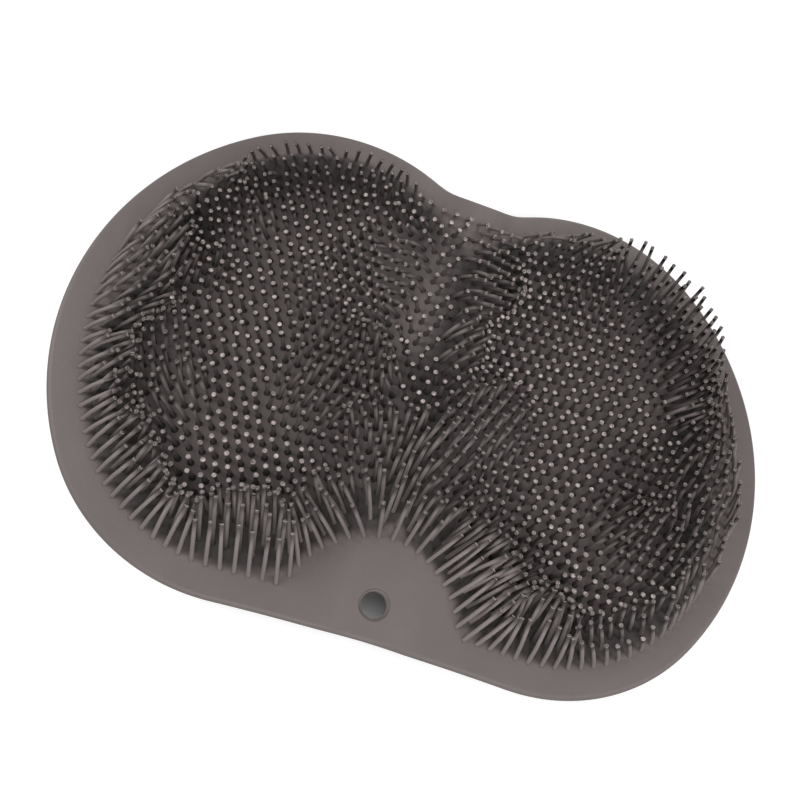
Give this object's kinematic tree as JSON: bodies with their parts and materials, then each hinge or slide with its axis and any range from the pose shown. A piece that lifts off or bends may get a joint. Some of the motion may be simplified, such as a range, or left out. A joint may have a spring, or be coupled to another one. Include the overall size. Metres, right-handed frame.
{
  "type": "back scrubber",
  "caption": "Butterfly-shaped silicone scrubbing pad with a field of soft bristles on its face, suction cups on its back and a hanging hole at its foot.",
  "frame": {"origin": "centre of the pad's outline, on the plane that the lips of its suction cups stand on", "axes": "+X along the two lobes, +Y from the hanging hole towards the notch between the lobes, +Z out of the bristle face"},
  "size_m": [0.3726, 0.264, 0.041],
  "materials": {
    "silicone": "satin"
  },
  "bodies": {
    "root": {"scrub_pad": "silicone"}
  },
  "joints": []
}
